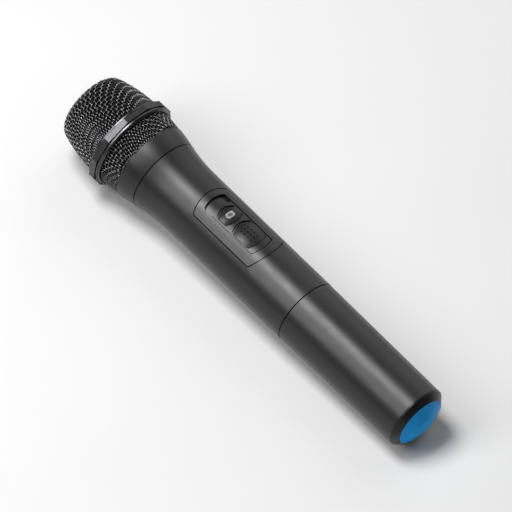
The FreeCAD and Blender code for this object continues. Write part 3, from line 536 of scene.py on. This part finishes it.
def press_dome(surface):
    """The sheet creeps towards four meridians and shears between them, as a pressed cloth does."""
    shoulder = surface.along[np.argmax(surface.points[:, 1] > 0.9 * surface.points[:, 1].max())]

    def press(x, y):
        far, angle = polar(x, y)
        between = (1 - np.cos(4 * angle)) / 2
        along = far + DOME_STRETCH * between * np.maximum(far - 0.8 * shoulder, 0.0)
        radius = np.maximum(surface.radius(np.minimum(along, surface.length)), MM)
        creep = np.clip(along / radius - 1, 0.0, DOME_CREEP)
        return along, DOME_TURN + angle + creep * np.sin(4 * angle) / 4
    return press


def press_band():
    """A ring cut from the sheet, from its given radius outwards, goes round the band."""
    def press(x, y):
        far, angle = polar(x, y)
        return far - BAND_SHEET_RADIUS, BAND_TURN + angle + BAND_CREEP * np.sin(4 * angle) / 4
    return press


def grille(material):
    dome = Surface(outline("grille_dome_mesh"), MESH_DEPTH)
    band = Surface(outline("grille_lower_mesh"), MESH_DEPTH)
    upper = weave("dome_wires", dome, press_dome(dome), dome.length, material)
    lower = weave("band_wires", band, press_band(), BAND_SHEET_RADIUS + band.length, material)
    for piece, node in ((upper, "grille_dome_mesh"), (lower, "grille_lower_mesh")):
        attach(piece, "grille_head")
        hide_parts(node)


# Foam windscreen

def windscreen(material):
    """Foam shell behind the wire, open towards the capsule, with a pitted skin."""
    skin = outline("foam_liner")
    outer = Surface(skin, 0.0)
    inner = Surface(skin, FOAM_WALL)
    rows = int(outer.length / FOAM_STEP)
    columns = int(2 * math.pi * AXIS_HEIGHT / FOAM_STEP)
    turn = 2 * math.pi * np.arange(columns) / columns
    vertices, rings = [], []
    for surface, order in ((outer, range(rows + 1)), (inner, range(rows, -1, -1))):
        inward = -1 if surface is outer else 1
        for row in order:
            first = len(vertices)
            if row == 0:
                vertices.append(surface.at(np.zeros(1), np.zeros(1))[0][0])
                rings.append([first] * columns)
                continue
            points, out = surface.at(np.full(columns, surface.length * row / rows), turn)
            for place, way in zip(points, out):
                pit = noise.noise(Vector(place) / FOAM_CELL) * 0.5 + 0.5
                vertices.append(place + way * inward * FOAM_RELIEF * pit)
            rings.append(list(range(first, first + columns)))
    faces = []
    for low, high in zip(rings, rings[1:]):
        for k in range(columns):
            after = (k + 1) % columns
            corners = dict.fromkeys((low[k], high[k], high[after], low[after]))
            faces.append(tuple(corners))
    piece = mesh_object("foam_windscreen", vertices, faces, material)
    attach(piece, "grille_head")
    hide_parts("foam_liner")


# Stage, light and camera

def pale_floor():
    """Big floor, tilted so that the ring's lowest flat and the tail's edge both lie on it."""
    tail_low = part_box("battery_cup")[0]
    front = Vector((RING_LOW.x + RING_REST, 0.0, RING_LOW.z))
    back = Vector((tail_low.x + TAIL_REST, 0.0, tail_low.z + TAIL_REST_RISE))
    run = (front - back).normalized()
    up = run.cross(Vector((0, 1, 0)))
    middle = back - up * FLOOR_GAP
    corners = [middle + run * a * FLOOR_REACH + Vector((0, b * FLOOR_REACH, 0))
               for a, b in ((-1, -1), (1, -1), (1, 1), (-1, 1))]
    made = Shade("pale_floor", (0.71, 0.71, 0.71), 0.75, specular=0.15)
    mottle = made.noise(0.12, 5.0)
    made.tint(made.range(mottle, 0.0, 1.0), (0.7, 0.7, 0.7), (0.72, 0.72, 0.72))
    made.bump(made.noise(1.5 * MM, 3.0), 0.02 * MM)
    floor = mesh_object("floor", corners, [(0, 1, 2, 3)], made.material)


def around_axis(lean, turn_degrees):
    """Unit vector that leans along X and is turned round it from up towards +Y."""
    turn = math.radians(turn_degrees)
    across = math.sqrt(1 - lean * lean)
    return Vector((lean, across * math.sin(turn), across * math.cos(turn)))


def softbox(name, lean, turn, distance, across, along, power):
    """Lamp that faces the object, with its sizes across the handle and along it."""
    lamp = bpy.data.lights.new(name, "AREA")
    lamp.shape = "RECTANGLE"
    lamp.size = across
    lamp.size_y = along
    lamp.energy = power
    made = bpy.data.objects.new(name, lamp)
    bpy.context.scene.collection.objects.link(made)
    way = around_axis(lean, turn)
    sideways = way.cross(Vector((1, 0, 0))).normalized()
    turned = Matrix((sideways, way.cross(sideways), way)).transposed().to_4x4()
    made.matrix_world = Matrix.Translation(Vector((0, 0, AXIS_HEIGHT)) + way * distance) @ turned


def studio_light():
    for name, settings in SOFTBOXES.items():
        softbox(name, **settings)
    world = bpy.data.worlds.new("studio")
    world.use_nodes = True
    world.node_tree.nodes["Background"].inputs["Color"].default_value = (1, 1, 1, 1)
    world.node_tree.nodes["Background"].inputs["Strength"].default_value = ROOM_LEVEL
    bpy.context.scene.world = world
    bpy.context.scene.view_settings.view_transform = "Standard"


def camera():
    """The photograph's view: the grille at the upper left, the blue cap at the lower right."""
    back = around_axis(-math.sin(SIGHT_TILT), math.degrees(SIGHT_TURN))
    axis_on_picture = (Vector((1, 0, 0)) - back * back.x).normalized()
    across = back.cross(axis_on_picture)
    slope_cos, slope_sin = math.cos(PICTURE_SLOPE), math.sin(PICTURE_SLOPE)
    right = -axis_on_picture * slope_cos - across * slope_sin
    up = axis_on_picture * slope_sin - across * slope_cos
    aim = Vector((AIM_ALONG, 0, AXIS_HEIGHT)) - across * AIM_ACROSS
    lens = bpy.data.cameras.new("camera")
    lens.lens = lens.sensor_width * CAMERA_DISTANCE / PICTURE_WIDTH
    lens.clip_end = 100
    made = bpy.data.objects.new("camera", lens)
    bpy.context.scene.collection.objects.link(made)
    turned = Matrix((right, up, back)).transposed().to_4x4()
    made.matrix_world = Matrix.Translation(aim + back * CAMERA_DISTANCE) @ turned
    bpy.context.scene.camera = made


camera()
finishes = give_finishes()
grille(finishes["grille_wire"])
windscreen(finishes["windscreen_foam"])
pale_floor()
studio_light()
